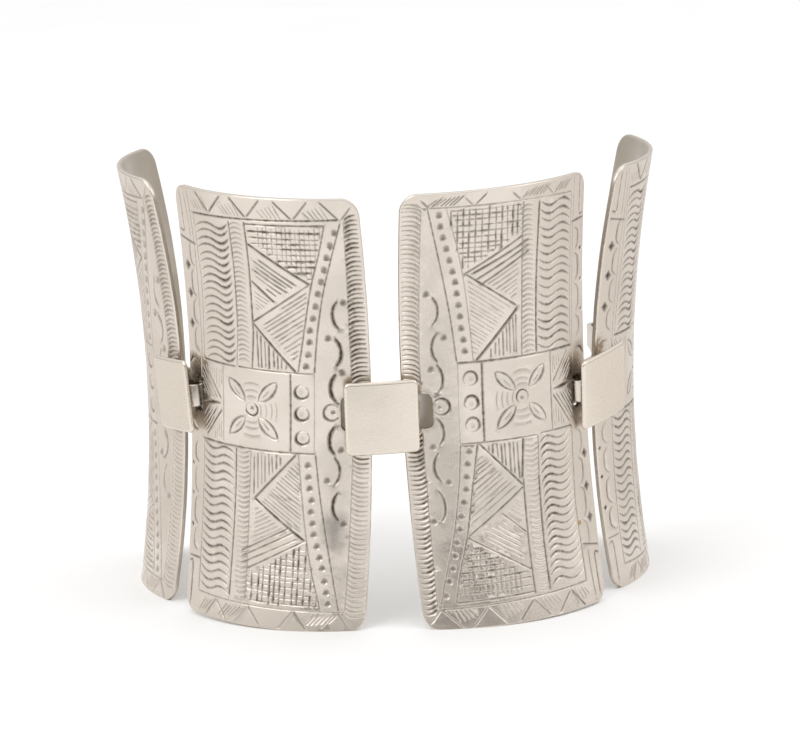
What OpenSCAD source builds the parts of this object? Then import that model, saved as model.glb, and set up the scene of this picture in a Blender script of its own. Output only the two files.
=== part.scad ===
// Engraved panel bracelet, standing unfastened on the lower edges of its four panels.
// The front is towards -Y. Headings are degrees anticlockwise seen from above,
// and a piece with heading 0 faces the front.

/* [Panels] */
// Height of a panel, measured along the arm
panel_h = 75; // [70:1:80]
// Width of a panel, measured straight across
panel_w = 35; // [33:0.5:36]
// Outer radius of a panel round the wrist, at mid-height
wrist_r = 27.5; // [27:0.5:29]
// Radius of the outward flare, seen from the side
flare_r = 225; // [190:5:280]
// Thickness of the sheet metal
sheet_t = 1; // [0.8:0.1:1.1]
// Radius of a panel's four corners
corner_r = 3; // [2:0.5:4]
// Depth to which the lowest edge of a panel is filed flat, so that it stands
filed = 0.25; // [0.1:0.05:0.3]

/* [Slots] */
// Strip of metal left between a slot and the edge
strip_w = 1.7; // [1.6:0.1:1.8]
// Width along the panel of the slot near the combed edge
comb_slot_w = 3.5; // [3.4:0.1:3.7]
// Width along the panel of the slot near the plain edge
plain_slot_w = 3; // [2.9:0.1:3.2]
// Height of a slot
slot_h = 5.9; // [5.9:0.1:6.4]
// Radius of a slot's corners
slot_r = 1.1; // [0.6:0.1:1.4]
// How far the slot at the plain edge lies above mid-height
plain_slot_up = 0.5; // [0.3:0.1:0.6]

/* [Links] */
// Side of a link's square plate
plate_w = 12.6; // [12:0.2:13]
// Thickness of a plate
plate_t = 0.9; // [0.8:0.1:1]
// Outer radius to which a plate is bowed
plate_bow_r = 65; // [50:5:100]
// Radius of a plate's corners
plate_corner_r = 0.9; // [0.5:0.1:1.5]
// Thickness of the strap that is bent into a link's loop
strap_t = 0.8; // [0.7:0.1:0.8]
// Height of the strap
strap_h = 3.8; // [3.6:0.1:3.8]
// Clear gap inside a loop, across the sheet
strap_gap = 3; // [3:0.1:3.1]
// Outer length of a loop
strap_l = 11.2; // [11.1:0.1:11.3]
// Length of the back plate, which covers the slots from inside
back_l = 16.4; // [14.6:0.2:16.8]
// Height of the back plate
back_h = 7.3; // [6.6:0.1:7.4]
// Width of the mouth in the clasp's loop
mouth_w = 2.2; // [2:0.1:2.4]

/* [Layout] */
// Headings of the four panels, from the left side round the front to the right side
left_side_turn = -87; // [-90:1:-85]
front_left_turn = -27; // [-28:1:-26]
front_right_turn = 25; // [24:1:26]
right_side_turn = 85; // [83:1:87]
// Headings of the three links and the clasp
left_link_turn = -62; // [-63:1:-60]
centre_link_turn = 6; // [5:1:7]
right_link_turn = 52; // [51:1:54]
clasp_turn = 94; // [93:1:98]
// Distances between the two strips that a link holds, left, centre and right
left_span = 5.3; // [5.2:0.1:5.5]
centre_span = 6.9; // [6.7:0.1:7]
right_span = 4.4; // [4.3:0.1:4.6]
// Height of each link's middle above that of a plumb panel, as it hangs in its slots
left_link_up = 0.5; // [0.4:0.1:0.6]
centre_link_up = -0.6; // [-0.7:0.1:-0.5]
right_link_up = -0.1; // [-0.1:0.1:0]
clasp_up = -0.6; // [-0.7:0.1:-0.5]

/* [Hidden] */

silver = [0.87, 0.83, 0.78];
satin = [0.84, 0.81, 0.76];
fine_fn = 96;
large_fn = 360;
margin = 5;

// How a panel leans, in degrees: its top outwards, and its top towards its right-hand edge
LEAN_OUT = 0;
LEAN_ALONG = 1;
left_side_lean = [0.7, 0];
front_left_lean = [1, 1.6];
front_right_lean = [-1.2, -1.1];
right_side_lean = [1.5, 0];

// How a link hangs: degrees that its top leans out, degrees that its right end is raised,
// degrees by which its plate was soldered askew, and how far the loop has slid to the right
// and out of the strips' line
HANG_OUT = 0;
HANG_TURN = 1;
HANG_ASKEW = 2;
HANG_RIGHT = 3;
HANG_OFF = 4;
left_hang = [2, 4, 1.5, -0.1, 0.4];
centre_hang = [1, 0, 0.3, -0.05, 0.3];
right_hang = [6, 3, 4.5, 0.15, 0.4];
clasp_off = 0.3;
// How far each link's plate sits to the right on its loop
left_plate_shift = 0.2;
centre_plate_shift = -1.1;
right_plate_shift = 0.3;

// Half angle of a panel round the wrist, and the angles of its strips and slots
function inset(distance) = half_angle - distance / wrist_r * 180 / PI;
half_angle = asin(panel_w / 2 / wrist_r);
strip_angle = inset(strip_w / 2);
comb_slot_angle = inset(strip_w + comb_slot_w / 2);
plain_slot_angle = inset(strip_w + plain_slot_w / 2);

// The strips' centres lie on this radius, this far each side of a panel's middle
mid_r = wrist_r - sheet_t / 2;
strip_side = mid_r * sin(strip_angle);
// Distance from the line between the strips out to a panel's face
panel_rise = wrist_r - mid_r * cos(strip_angle);

// The flare at the top edge, and the arc of the side edges that keeps the width constant
flare = flare_r - sqrt(pow(flare_r, 2) - pow(panel_h / 2, 2));
flared_r = wrist_r + flare;
edge_in = flared_r * sin(half_angle - asin(panel_w / 2 / flared_r));
edge_r = (pow(panel_h / 2, 2) + pow(edge_in, 2)) / (2 * edge_in);
corner_z = panel_h / 2 - corner_r;
corner_x = sqrt(pow(edge_r - corner_r, 2) - pow(corner_z, 2)) - edge_r;
edge_end_z = corner_z * edge_r / (edge_r - corner_r);

function along(turn) = [cos(turn), sin(turn), 0];
function outward(turn) = [sin(turn), -cos(turn), 0];

// The chain of strip centres, worked out from the middle of the centre link outwards
chain_shift = [1.46, -27.23, 0];
centre_at = chain_shift + [-2.4, 0.5, 0];
front_left_c = centre_at - along(centre_link_turn) * centre_span / 2;
front_right_c = centre_at + along(centre_link_turn) * centre_span / 2;
front_left_at = front_left_c - along(front_left_turn) * strip_side;
front_right_at = front_right_c + along(front_right_turn) * strip_side;
front_left_d = front_left_at - along(front_left_turn) * strip_side;
front_right_d = front_right_at + along(front_right_turn) * strip_side;
left_side_c = front_left_d - along(left_link_turn) * left_span;
right_side_d = front_right_d + along(right_link_turn) * right_span;
left_side_at = left_side_c - along(left_side_turn) * strip_side;
right_side_at = right_side_d + along(right_side_turn) * strip_side;
right_side_c = right_side_at + along(right_side_turn) * strip_side;
left_link_at = (left_side_c + front_left_d) / 2;
right_link_at = (front_right_d + right_side_d) / 2;

// Height of a panel's middle over the floor when its lowest edge is filed flat on it
edge_spots = [for (x = [-panel_w / 2 : 0.5 : panel_w / 2]) x];
function edge_rise(x) = let (past = max(0, abs(x) - (panel_w / 2 - corner_r)))
    corner_r - sqrt(pow(corner_r, 2) - pow(past, 2));
function edge_out(x) = sqrt(pow(flared_r, 2) - pow(x, 2)) - wrist_r;
function edge_drop(x, lean) = edge_out(x) * sin(lean[LEAN_OUT])
    + (x * sin(lean[LEAN_ALONG]) + (panel_h / 2 - edge_rise(x)) * cos(lean[LEAN_ALONG]))
    * cos(lean[LEAN_OUT]);
function middle_height(lean) = max([for (x = edge_spots) edge_drop(x, lean)]) - filed;

// A flat shape with two round ends, lying along X
module stadium(length, width) {
    square([length - width, width], center = true);
    for (side = [-1, 1])
        translate([side * (length - width) / 2, 0])
            circle(d = width, $fn = fine_fn);
}

module rounded_rectangle(width, height, r) {
    square([width - 2 * r, height], center = true);
    square([width, height - 2 * r], center = true);
    for (x = [-1, 1], y = [-1, 1])
        translate([x * (width / 2 - r), y * (height / 2 - r)])
            circle(r = r, $fn = fine_fn);
}

// A flat shape in X and Z, extruded along Y through the sheet
module through_sheet(depth) {
    translate([0, depth / 2, 0])
        rotate([90, 0, 0])
            linear_extrude(depth)
                children();
}

// Saddle-shaped sheet: round the wrist in plan, flared outwards in section
module saddle() {
    width = sheet_t + flare + margin;
    translate([0, wrist_r, 0])
        rotate([0, 0, -90 - half_angle - margin])
            rotate_extrude(angle = 2 * (half_angle + margin), $fn = large_fn)
                intersection() {
                    difference() {
                        translate([wrist_r + flare_r, 0])
                            circle(r = flare_r + sheet_t, $fn = large_fn);
                        translate([wrist_r + flare_r, 0])
                            circle(r = flare_r, $fn = large_fn);
                    }
                    translate([wrist_r - sheet_t, -panel_h / 2])
                        square([width, panel_h]);
                }
}

// What lies inside one side edge, seen square to the sheet at that edge
module edge_shape() {
    intersection() {
        translate([-edge_r, 0])
            circle(r = edge_r, $fn = large_fn);
        translate([-2 * panel_w, -edge_end_z])
            square([2 * panel_w + margin, 2 * edge_end_z]);
    }
    translate([-2 * panel_w, -panel_h / 2])
        square([2 * panel_w + corner_x, panel_h]);
    for (side = [-1, 1])
        translate([corner_x, side * corner_z])
            circle(r = corner_r, $fn = fine_fn);
}

// Turns its children round a panel's own axis of curvature
module round_wrist(angle) {
    translate([0, wrist_r, 0])
        rotate([0, 0, angle])
            translate([0, -wrist_r, 0])
                children();
}

module slot(width) {
    through_sheet(4 * sheet_t)
        rounded_rectangle(width, slot_h, slot_r);
}

// A plumb panel with the middle of its outer face at the origin, facing -Y.
// Its plain edge is at the left and its combed edge at the right
module plumb_panel() {
    depth = 2 * panel_w;
    difference() {
        intersection() {
            saddle();
            round_wrist(half_angle)
                through_sheet(depth)
                    edge_shape();
            round_wrist(-half_angle)
                through_sheet(depth)
                    mirror([1, 0])
                        edge_shape();
        }
        round_wrist(comb_slot_angle)
            slot(comb_slot_w);
        round_wrist(-plain_slot_angle)
            translate([0, 0, plain_slot_up])
                slot(plain_slot_w);
    }
}

// A panel in its place, filed flat at the floor; upset turns it upside down
module placed_panel(at, turn, lean, upset) {
    reach = 2 * panel_h;
    intersection() {
        translate(at + outward(turn) * panel_rise + [0, 0, middle_height(lean)])
            rotate([0, 0, turn])
                rotate([lean[LEAN_OUT], 0, 0])
                    rotate([0, lean[LEAN_ALONG] + upset, 0])
                        plumb_panel();
        translate([-reach, -reach, 0])
            cube(2 * reach);
    }
}

// The loop of a link, with its two strips on the X axis
module strap_loop() {
    linear_extrude(strap_h, center = true)
        difference() {
            stadium(strap_l, strap_gap + 2 * strap_t);
            stadium(strap_l - 2 * strap_t, strap_gap);
        }
}

// A rectangular plate bowed about a vertical axis, with the middle of its outer face
// at the origin
module bowed_plate(width, height, thickness, bow_r, r) {
    intersection() {
        translate([0, bow_r, 0])
            difference() {
                cylinder(r = bow_r, h = 2 * height, center = true, $fn = large_fn);
                cylinder(r = bow_r - thickness, h = 3 * height, center = true, $fn = large_fn);
            }
        through_sheet(bow_r)
            rounded_rectangle(width, height, r);
    }
}

// The square plate, sunk a little into the strap behind it
module front_plate() {
    sunk = 0.1;
    translate([0, sunk - strap_gap / 2 - strap_t - plate_t, 0])
        bowed_plate(plate_w, plate_w, plate_t, plate_bow_r, plate_corner_r);
}

// The plate soldered to the loop's inner strand, bowed like the panels
module back_plate() {
    translate([0, strap_gap / 2, 0])
        bowed_plate(back_l, back_h, strap_t, wrist_r, plate_corner_r);
}

module placed_link(at, turn, up, hang, plate_shift) {
    translate(at + [0, 0, panel_h / 2 + up])
        rotate([0, 0, turn])
            rotate([hang[HANG_OUT], 0, 0])
                rotate([0, -hang[HANG_TURN], 0])
                    translate([hang[HANG_RIGHT], -hang[HANG_OFF], 0]) {
                        strap_loop();
                        back_plate();
                        translate([plate_shift, 0, 0])
                            rotate([0, -hang[HANG_ASKEW], 0])
                                front_plate();
                    }
}

module panel_left_side() {
    color(silver)
        placed_panel(left_side_at, left_side_turn, left_side_lean, 0);
}

module panel_front_left() {
    color(silver)
        placed_panel(front_left_at, front_left_turn, front_left_lean, 0);
}

// The same panel as the others, turned upside down
module panel_front_right() {
    color(silver)
        placed_panel(front_right_at, front_right_turn, front_right_lean, 180);
}

module panel_right_side() {
    color(silver)
        placed_panel(right_side_at, right_side_turn, right_side_lean, 0);
}

module link_left() {
    color(satin)
        placed_link(left_link_at, left_link_turn, left_link_up, left_hang,
                    left_plate_shift);
}

module link_centre() {
    color(satin)
        placed_link(centre_at, centre_link_turn, centre_link_up, centre_hang,
                    centre_plate_shift);
}

module link_right() {
    color(satin)
        placed_link(right_link_at, right_link_turn, right_link_up, right_hang,
                    right_plate_shift);
}

// A loop like a link's, with a post that closes an eye round the right side's far strip
// and a mouth in the outer strand beyond it, so that the rest is a hook
module clasp() {
    eye_x = -(left_span - strip_w) / 2 + 0.5;
    outer_y = -strap_gap / 2 - strap_t;
    color(satin)
        translate(right_side_c + [0, 0, panel_h / 2 + clasp_up])
            rotate([0, 0, clasp_turn])
                translate([left_span / 2, -clasp_off, 0])
                    difference() {
                        union() {
                            strap_loop();
                            translate([eye_x, -strap_gap / 2, -strap_h / 2])
                                cube([strap_t, strap_gap, strap_h]);
                        }
                        translate([eye_x + strap_t, outer_y - margin, -strap_h])
                            cube([mouth_w, strap_t + margin, 2 * strap_h]);
                    }
}

panel_left_side();
panel_front_left();
panel_front_right();
panel_right_side();
link_left();
link_centre();
link_right();
clasp();
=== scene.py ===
# %% [markdown]
# # Engraved panel bracelet
# The object is a wide bracelet of four saddle-shaped panels of nickel silver. Each panel is
# covered with the same engraving, and square links join them through slots. It stands
# unfastened on a pale floor, spread in an open C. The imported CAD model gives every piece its
# place, and this scene gives the pieces their engraving, their rounded rims and their metal.

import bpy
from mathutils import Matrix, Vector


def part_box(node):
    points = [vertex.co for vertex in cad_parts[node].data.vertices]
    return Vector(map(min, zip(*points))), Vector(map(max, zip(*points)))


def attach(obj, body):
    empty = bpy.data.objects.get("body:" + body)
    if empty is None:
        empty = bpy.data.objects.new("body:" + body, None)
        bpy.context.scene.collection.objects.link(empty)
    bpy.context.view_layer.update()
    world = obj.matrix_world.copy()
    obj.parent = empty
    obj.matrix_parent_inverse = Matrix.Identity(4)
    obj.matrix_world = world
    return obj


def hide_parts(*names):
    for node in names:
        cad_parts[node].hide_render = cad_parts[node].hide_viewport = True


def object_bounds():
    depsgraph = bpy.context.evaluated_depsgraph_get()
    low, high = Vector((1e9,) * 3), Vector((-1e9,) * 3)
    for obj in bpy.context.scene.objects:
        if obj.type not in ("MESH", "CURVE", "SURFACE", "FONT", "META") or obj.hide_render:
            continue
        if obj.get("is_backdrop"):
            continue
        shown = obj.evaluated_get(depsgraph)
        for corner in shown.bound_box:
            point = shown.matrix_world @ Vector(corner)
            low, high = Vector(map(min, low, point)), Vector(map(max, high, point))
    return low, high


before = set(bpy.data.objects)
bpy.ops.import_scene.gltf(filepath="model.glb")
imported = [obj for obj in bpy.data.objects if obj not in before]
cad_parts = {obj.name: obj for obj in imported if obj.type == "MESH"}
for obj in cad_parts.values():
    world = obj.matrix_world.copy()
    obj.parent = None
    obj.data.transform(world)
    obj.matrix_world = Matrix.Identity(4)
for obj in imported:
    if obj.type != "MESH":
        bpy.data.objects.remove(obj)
cad_low, cad_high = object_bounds()
print("CAD nodes:", sorted(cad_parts))

# %% [markdown]
# ## Sizes
# The panels are worked out in millimetres, because the engraver's marks are fractions of one.
# A panel is drawn flat first, as the smith had it on the bench: x runs round the wrist
# from the plain edge to the combed edge, and z runs up from mid-height. Bending comes last.

# %% Sizes in millimetres
import math
import random

import bpy
import numpy as np
from mathutils import Matrix, Vector
from mathutils.geometry import delaunay_2d_cdt

MM = 0.001
WRIST_R = 27.5
FLARE_R = 225
SHEET = 1
PANEL_W = 35
PANEL_H = 75
CORNER_R = 3
HALF_ANGLE = math.asin(PANEL_W / 2 / WRIST_R)
HALF_FLAT = WRIST_R * HALF_ANGLE
# The strip of metal between a slot and the side edge
STRIP = 1.7
SLOT_H = 5.9
COMB_SLOT_W = 3.5
PLAIN_SLOT_W = 3
PLAIN_SLOT_UP = 0.5
SLOT_R = 1.1
# Plain metal left between a cut and the outline, a cut and a slot, a punch and the outline
EDGE_MARGIN, SLOT_MARGIN, PUNCH_MARGIN = 0.32, 0.3, 0.4

flare = FLARE_R - math.sqrt(FLARE_R ** 2 - (PANEL_H / 2) ** 2)
flared_r = WRIST_R + flare
edge_in = flared_r * math.sin(HALF_ANGLE - math.asin(PANEL_W / 2 / flared_r))
EDGE_R = ((PANEL_H / 2) ** 2 + edge_in ** 2) / (2 * edge_in)
SLOTS = [((HALF_FLAT - STRIP - COMB_SLOT_W / 2, 0.0), COMB_SLOT_W),
         ((-(HALF_FLAT - STRIP - PLAIN_SLOT_W / 2), PLAIN_SLOT_UP), PLAIN_SLOT_W)]
print(f"flat panel {2 * HALF_FLAT:.2f} x {PANEL_H} mm, flare {flare:.2f} mm")

# %% [markdown]
# ## Outlines
# Every sheet piece here is a flat shape with rounded corners, some with slots. An outline is
# a ring of points at even steps. A soft rim is a few such rings, each a little further
# in and a little shallower, so all rings of one outline have the same number of points.


# %% Outlines as rings of points
def rounded_outline(width, height, r, step, inset=0.0):
    """Ring of points round a rectangle with rounded corners, moved inwards by inset."""
    straight_x, straight_z = width / 2 - r, height / 2 - r
    turn = max(4, round(r * math.pi / 2 / min(step, 0.45)))
    ring = []
    for corner, (sx, sz) in enumerate([(1, 1), (-1, 1), (-1, -1), (1, -1)]):
        for i in range(turn + 1):
            a = math.pi / 2 * (corner + i / turn)
            ring.append((sx * straight_x + (r - inset) * math.cos(a),
                         sz * straight_z + (r - inset) * math.sin(a)))
        length = 2 * (straight_x if corner % 2 == 0 else straight_z)
        n = max(1, round(length / step))
        ax, az = ring[-1]
        bx, bz = (-ax, az) if corner % 2 == 0 else (ax, -az)
        ring += [(ax + (bx - ax) * i / n, az + (bz - az) * i / n) for i in range(1, n)]
    return np.array(ring)


def depth_in(points, width, height, r, centre=(0.0, 0.0)):
    """How far points lie inside a rounded rectangle; negative outside it."""
    q = np.abs(points - np.array(centre)) - np.array([width / 2 - r, height / 2 - r])
    out = np.hypot(np.maximum(q[:, 0], 0), np.maximum(q[:, 1], 0))
    return r - out - np.minimum(np.maximum(q[:, 0], q[:, 1]), 0)


print("panel outline has", len(rounded_outline(2 * HALF_FLAT, PANEL_H, CORNER_R, 0.6)), "points")

# %% [markdown]
# ## Marks
# An engraved line is a groove with a V section. A graver makes it thin where it enters and
# leaves the metal and wide where it is pushed hardest, so a mark here is a centre line with a
# half width and a depth at every point. A punch mark is a small bowl. The rest of the
# engraving is nothing but these two, repeated in rows.


# %% A cut and a punch
# How far a cut runs in before it has its full width, in mm
TAPER = 0.15
# Heights of the rows as drawn and on the panel; here they are the same
AS_DRAWN = ((-40, 40), (-40, 40))


def smooth_line(points, step=0.35, end=TAPER):
    """Points at even steps along a smooth curve, and one more close to each end."""
    p = np.array(points, float)
    if len(p) == 2:
        n = max(2, round(np.linalg.norm(p[1] - p[0]) / (2.5 * step)))
        line = p[0] + (p[1] - p[0]) * np.linspace(0, 1, n + 1)[:, None]
    else:
        q = np.vstack([2 * p[0] - p[1], p, 2 * p[-1] - p[-2]])
        line = p[:1]
        for a, b, c, d in zip(q, q[1:], q[2:], q[3:]):
            n = max(1, round(np.linalg.norm(c - b) / step))
            t = np.linspace(0, 1, n + 1)[1:, None]
            line = np.vstack([line, 0.5 * (2 * b + (c - a) * t + (2 * a - 5 * b + 4 * c - d)
                                           * t ** 2 + (3 * b - a - 3 * c + d) * t ** 3)])
    first = end / max(np.linalg.norm(line[1] - line[0]), 2 * end)
    last = end / max(np.linalg.norm(line[-1] - line[-2]), 2 * end)
    return np.vstack([line[0], line[0] + first * (line[1] - line[0]), line[1:-1],
                      line[-1] + last * (line[-2] - line[-1]), line[-1]])


class Engraving:
    """The marks on one panel: cuts and punches, with the hand's small unevenness."""

    def __init__(self, seed, drift=AS_DRAWN):
        self.hand = random.Random(seed)
        self.drift = drift
        self.cuts = []
        self.punches = []

    def cut(self, points, width=0.45, depth=0.1, swell=None, shake=0.05, wild=0.0, held=1.0):
        """A groove along a line. swell gives its width from start to end, 1 being full, and
        held how much tarnish it kept when the panel was polished."""
        push = [self.hand.gauss(0, shake) for _ in range(4)]
        line = smooth_line(points)
        run = np.concatenate([[0], np.cumsum(np.linalg.norm(np.diff(line, axis=0), axis=1))])
        share = run / run[-1]
        line = line + np.outer(1 - share, push[:2]) + np.outer(share, push[2:])
        line[:, 1] = np.interp(line[:, 1], *self.drift)
        full = np.minimum(1, np.minimum(run, run[-1] - run) / TAPER)
        if swell:
            full *= np.interp(share, np.linspace(0, 1, len(swell)), swell)
        full *= 1 + wild * np.array([self.hand.uniform(-1, 1) for _ in line])
        force = self.hand.uniform(0.85, 1.15)
        self.cuts.append((line, width / 2 * full * force, depth * full * force, held))

    def punch(self, x, z, r, depth=0.1, corners=2.0, flat=0.3, held=1.0):
        """A bowl at x, z. corners is 2 for a round punch and 1 for a diamond. Close to a side
        edge it is smaller, so that it stays on the metal."""
        z = np.interp(z, *self.drift)
        r = min(r, HALF_FLAT - abs(x) - PUNCH_MARGIN)
        self.punches.append((x + self.hand.gauss(0, 0.05), z + self.hand.gauss(0, 0.05),
                             r, depth, corners, flat, held))


def tried(*works):
    """What some steps of the work leave on a spare panel."""
    spare = Engraving(1)
    for work in works:
        work(spare)
    return f"{len(spare.cuts)} cuts and {len(spare.punches)} punches"


print("a curve of 3 points becomes", len(smooth_line([(0, 0), (1, 1), (2, 0)])), "points")

# %% [markdown]
# ## Rows of waves and crescents
# Beside the plain edge runs a strip of S-shaped waves with a narrow strip of small crescents
# next to it. Both were cut one by one with the same flick of the hand, so one curve is
# repeated down the strip, a little different each time. Below mid-height the hand turned the
# panel round, and the curves are upside down.


# %% Waves and crescents
def between(a, b, n):
    """n even steps from a to b, both of them included."""
    return [a + (b - a) * i / (n - 1) for i in range(n)]


def wave_rows(e):
    up = [(0, -0.95), (0.15, -0.3), (0.33, 0), (0.5, -0.15), (0.66, -0.6), (0.8, -0.7),
          (0.92, -0.25), (1, 0.35)]
    down = [(0, 0.25), (0.1, -0.25), (0.27, -0.7), (0.45, -0.5), (0.6, -0.05), (0.7, 0.05),
            (0.85, -0.25), (1, -0.95)]
    for z in between(31.9, 8.5, 19):
        left = np.interp(z, [8, 22, 30, 32], [-12.4, -12.2, -13.1, -13.2])
        e.cut([(left + (-5.15 - left) * s, z + dz) for s, dz in up], 0.76, 0.155,
              [0.3, 0.6, 0.75, 0.75, 0.9, 1, 1, 0.5], shake=0.08, wild=0.12)
    for z in between(-7.5, -31.9, 18):
        left = np.interp(z, [-32, -8], [-14.4, -13.8])
        right = np.interp(z, [-32, -8], [-7.0, -5.8])
        e.cut([(left + (right - left) * s, z + dz) for s, dz in down], 0.7, 0.14,
              [0.5, 0.9, 1, 0.75, 0.9, 1, 0.85, 0.4], shake=0.08, wild=0.12)


def crescent_rows(e):
    for z in between(32.6, 8.7, 29):
        e.cut([(-4.6, z - 0.35), (-3.9, z), (-3.2, z + 0.05), (-2.1, z - 0.35)], 0.5, 0.08,
              [0.9, 1, 0.8, 0.4])
    for z in between(-7.6, -32.6, 30):
        e.cut([(-5.2, z + 0.15), (-4.2, z - 0.15), (-3.5, z - 0.02), (-2.8, z + 0.35)], 0.52,
              0.09, [0.4, 0.7, 1, 0.9])


print("waves and crescents:", tried(wave_rows, crescent_rows))

# %% [markdown]
# ## Hatching
# The triangles are shaded with parallel lines, and two corners with crossed ones. Each line is
# clipped to its triangle and stops a little short of it, as a hand does.


# %% Hatching inside a convex shape
# Shorter cuts than this, in mm, are left out
SHORTEST = 0.8


def hatch(e, shape, along, spacing, width, depth, gap=0.2, ragged=0.5, wild=0.25):
    """Parallel cuts in the direction along, clipped to a convex shape given anticlockwise.
    gap and ragged say how far a cut stops short of it, wild how unsteady the cut is."""
    shape = np.array(shape, float)
    d = np.array(along, float) / np.linalg.norm(along)
    n = np.array([-d[1], d[0]])
    across = shape @ n
    at = across.min() + spacing * 0.7
    while at < across.max() - spacing * 0.4:
        low, high = -1e9, 1e9
        for a, b in zip(shape, np.roll(shape, -1, axis=0)):
            side = np.array([-(b - a)[1], (b - a)[0]])
            slope, reach = side @ d, side @ (at * n - a)
            if abs(slope) > 1e-9:
                if slope > 0:
                    low = max(low, -reach / slope)
                else:
                    high = min(high, -reach / slope)
        low += gap + e.hand.uniform(0, ragged)
        high -= gap + e.hand.uniform(0, ragged)
        if high - low > SHORTEST:
            e.cut([at * n + low * d, at * n + high * d], width, depth, wild=wild)
        at += spacing * e.hand.uniform(0.85, 1.15)


def triangle_zone(e):
    bold, thin = (0.62, 0.15), (0.44, 0.095)
    for line in (((-1.2, 29.2), (9.5, 22.6)), ((9.3, 22.4), (-1.2, 15.5)),
                 ((-1.2, 15.3), (6.2, 7.3)), ((-1.1, 22.8), (3.1, 19.2)),
                 ((-1.7, -15.5), (7.4, -21.9)), ((7.8, -21.9), (-3.1, -27.6))):
        e.cut(line, *bold, wild=0.15)
    e.cut([(5.9, -7.2), (-1.8, -15.3)], 0.66, 0.15)
    slant = (10.7, -6.6)
    hatch(e, [(-0.6, 28.2), (-0.6, 23.2), (3.6, 19.6), (8.9, 22.6)], slant, 0.78, *thin,
          ragged=1.3)
    hatch(e, [(-1, 22), (-1, 16.4), (3, 19)], slant, 0.6, 0.3, 0.05)
    hatch(e, [(0, 15.1), (6.4, 8.2), (7.9, 13), (9.4, 22)], (10.4, 6.8), 0.76, *thin,
          ragged=0.4)
    hatch(e, [(-1.2, 15), (-1.2, 7.3), (5.9, 7.3)], (0, 1), 0.74, 0.46, 0.11, gap=0.1,
          ragged=0.4)
    hatch(e, [(-2.2, -7.2), (-2.2, -15.2), (5.7, -7.2)], (0, 1), 0.7, 0.4, 0.09, gap=0.0,
          ragged=0.9)
    hatch(e, [(-1, -15.6), (7.4, -21.5), (7, -9), (5.9, -7.8)], (9.2, -6.5), 0.64, 0.34, 0.07)
    hatch(e, [(-2.9, -24.6), (5, -20.4), (-1.9, -15.8)], (10.7, 5.4), 0.74, 0.36, 0.06)
    for z in (-24.4, -25.4, -26.4):
        e.cut([(-4.3, z - 0.3), (5 - (z + 24.4) * 0.6, z + 4.6)], 0.56, 0.13, wild=0.15)


def crossed_corners(e):
    upper = [(-1.2, 32.6), (-1.1, 29.7), (10, 22.9), (12.6, 32.6)]
    upper_right = [(0.3, 32.6), (0.4, 29), (10, 23), (12.6, 32.6)]
    lower = [(-3.1, -28.3), (-3.3, -33.5), (10.8, -33.5), (8, -22.3)]
    hatch(e, upper, (1, 0.01), 1.0, 0.54, 0.13, gap=0.0, wild=0.4)
    hatch(e, upper_right, (0.03, 1), 0.84, 0.38, 0.065, gap=0.0, ragged=0.6, wild=0.3)
    hatch(e, lower, (1, -0.02), 0.95, 0.4, 0.09, gap=0.1, ragged=0.8, wild=0.5)
    hatch(e, lower, (0.02, 1), 1.12, 0.46, 0.11, gap=0.0, wild=0.5)


print("triangles and crossed corners:", tried(triangle_zone, crossed_corners))

# %% [markdown]
# ## Frame lines, dots and scallops
# Ruled lines part the bands. A strip of punched dots leans across the panel, a chain of
# scallops with diamond punches follows the plain edge, and C-shaped marks with dots follow
# the other side. Short curved strokes like a comb fill the edge beyond them.


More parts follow.
